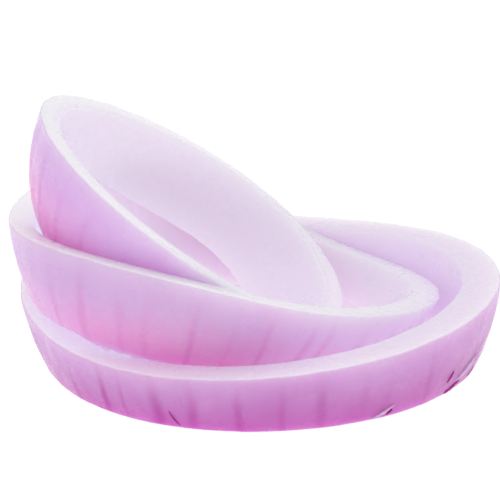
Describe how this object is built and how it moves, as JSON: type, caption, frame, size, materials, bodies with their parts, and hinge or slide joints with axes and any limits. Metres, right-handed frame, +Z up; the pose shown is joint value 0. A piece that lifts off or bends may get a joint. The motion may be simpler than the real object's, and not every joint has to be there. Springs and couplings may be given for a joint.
{
  "type": "nested red onion rings",
  "caption": "Open rings cut across a red onion, nested and leaning one in another, with pale cut rims and purple-pink skin.",
  "frame": {"origin": "bottom centre of the nest's bounding box, on the surface that it stands on", "axes": "+Z up, +X towards the side where the bottom ring reaches out from under the leaning rings, +Y away from the viewer of the picture"},
  "size_m": [0.0776, 0.0746, 0.0429],
  "materials": {
    "bottom_flesh": "moist translucent onion flesh, deep purple-pink skin",
    "middle_flesh": "moist translucent onion flesh, purple-pink skin",
    "top_flesh": "moist translucent onion flesh, pale purple-pink skin"
  },
  "bodies": {
    "root": {"bottom_ring": "bottom_flesh", "middle_ring": "middle_flesh", "top_ring": "top_flesh"}
  },
  "joints": []
}
